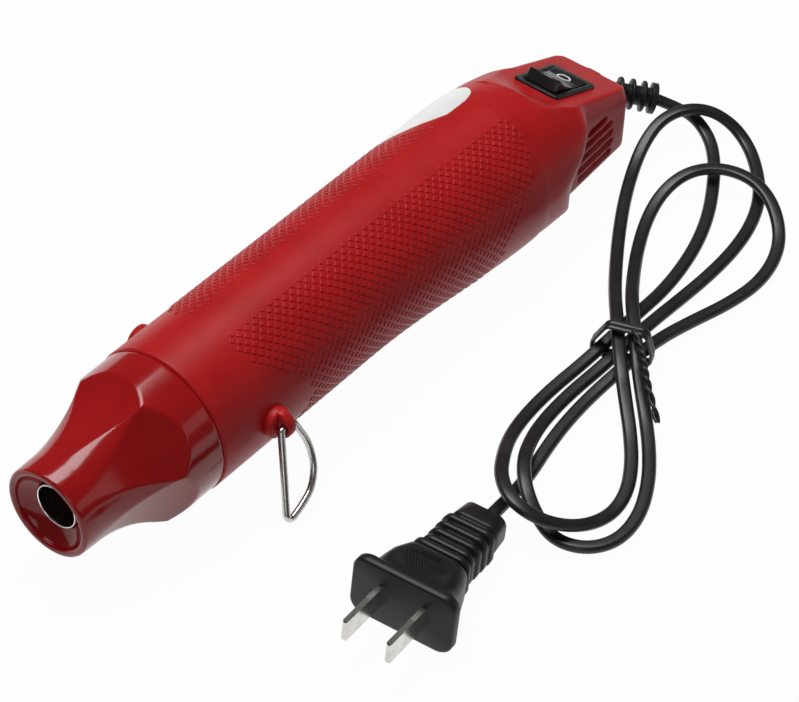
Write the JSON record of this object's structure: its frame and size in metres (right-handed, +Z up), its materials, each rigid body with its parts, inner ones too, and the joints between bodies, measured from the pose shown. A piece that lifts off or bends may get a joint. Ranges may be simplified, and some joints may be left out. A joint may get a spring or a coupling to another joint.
{
  "type": "embossing heat tool",
  "caption": "Hand-held embossing heat tool: round handle with a sloped switch end, faceted nozzle cover, folding wire stand ring and a tied mains cord with a flat-blade plug.",
  "frame": {"origin": "on the flat underside of the handle, below its axis, 110 mm behind the mouth of the nozzle", "axes": "+Z up, -X out of the nozzle along the tool, -Y the side with the stand ring"},
  "size_m": [0.2549, 0.1309, 0.0427],
  "materials": {
    "cover": "high gloss",
    "grip": "satin",
    "steel": "plain",
    "outlet": "bright",
    "mica": "mineral sheet",
    "coil": "drawn wire",
    "duct": "moulded",
    "black": "satin",
    "rocker": "gloss",
    "cord": "satin",
    "brass": "stamped",
    "board": "laminate",
    "film": "dipped",
    "diode": "moulded",
    "magnet": "ferrite",
    "wire": "insulation",
    "label": "printed film, left blank"
  },
  "bodies": {
    "housing": {"nozzle_cover": "cover", "outlet_tube": "outlet", "mica_sleeve": "mica", "heater_former": "mica", "heater_coil": "coil", "heater_rear_plate": "mica", "thermal_cutoff": "steel", "fan_duct": "duct", "flange_screws": "steel", "motor_can": "steel", "motor_magnets": "magnet", "motor_end_cap": "black", "motor_screws": "steel", "barrel": "grip", "label_sticker": "label", "switch_body": "black", "switch_terminals": "brass", "circuit_board": "board", "board_screws": "steel", "diodes": "diode", "capacitor": "film", "motor_wires": "wire", "heater_wires": "wire", "mains_wires": "wire", "strain_relief": "black", "inner_cord": "cord", "cord_clamp": "black", "clamp_screws": "steel", "plug_body": "black", "plug_blades": "brass", "cord_lead": "cord", "cord_hank": "cord", "cord_tail": "cord", "twist_tie": "cord"},
    "fan": {"fan_impeller": "duct", "motor_shaft": "steel", "motor_rotor": "steel"},
    "rocker": {"switch_rocker": "rocker"},
    "ring": {"d_ring": "steel"}
  },
  "joints": [
    {"name": "fan_spin", "type": "hinge", "parent": "housing", "child": "fan", "pos_m": [-0.006, 0, 0.0212], "axis": [1, 0, 0], "continuous": true},
    {"name": "switch_rock", "type": "hinge", "parent": "housing", "child": "rocker", "pos_m": [0.09934, 0, 0.02844], "axis": [0, 1, 0], "range_deg": [-22, 0]},
    {"name": "ring_swing", "type": "hinge", "parent": "housing", "child": "ring", "pos_m": [-0.0484, -0.0254, 0.0212], "axis": [-1, 0, 0], "range_deg": [-34, 158]}
  ]
}
